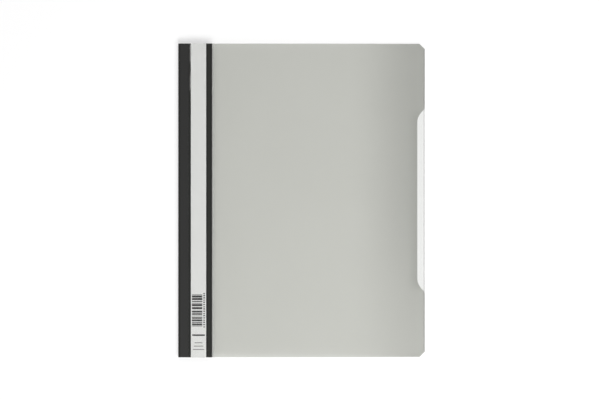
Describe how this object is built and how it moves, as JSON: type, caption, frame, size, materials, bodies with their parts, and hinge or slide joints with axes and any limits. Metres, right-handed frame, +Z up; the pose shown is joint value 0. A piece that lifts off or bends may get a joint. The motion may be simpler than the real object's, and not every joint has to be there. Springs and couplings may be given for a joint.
{
  "type": "fastener folder",
  "caption": "Flat A4 report folder with a clear front, a grey back, a dark spine band with a label strip and a hidden prong fastener.",
  "frame": {"origin": "middle of the footprint, on the surface that the closed folder lies on", "axes": "+Z up through the covers, +Y towards the head of the folder, +X from the spine fold to the free edge"},
  "size_m": [0.244, 0.3112, 0.0063],
  "materials": {
    "grey_film": "smooth grey film",
    "dark_band": "soft dark film with a fine grain",
    "clear_film": "clear glossy film",
    "label_paper": "plain white paper",
    "label_ink": "printed black bars",
    "prong_metal": "bright rolled strip",
    "black_plastic": "moulded black plastic"
  },
  "bodies": {
    "back_cover": {"back_cover": "grey_film", "spine_band_back": "dark_band", "prong_strip": "prong_metal", "cover_bar": "black_plastic"},
    "front_cover": {"front_cover": "clear_film", "spine_band_front": "dark_band", "label_strip": "label_paper", "label_print": "label_ink"},
    "keeper_upper": {"keeper_upper": "black_plastic"},
    "keeper_lower": {"keeper_lower": "black_plastic"}
  },
  "joints": [
    {"name": "front_cover_hinge", "type": "hinge", "parent": "back_cover", "child": "front_cover", "pos_m": [-0.122, 0, 0.00317], "axis": [0, -1, 0], "range_deg": [0, 180]},
    {"name": "keeper_upper_slide", "type": "slide", "parent": "back_cover", "child": "keeper_upper", "axis": [0, 1, 0], "range_m": [-0.0175, 0.009]},
    {"name": "keeper_lower_slide", "type": "slide", "parent": "back_cover", "child": "keeper_lower", "axis": [0, -1, 0], "range_m": [-0.0175, 0.009]}
  ]
}
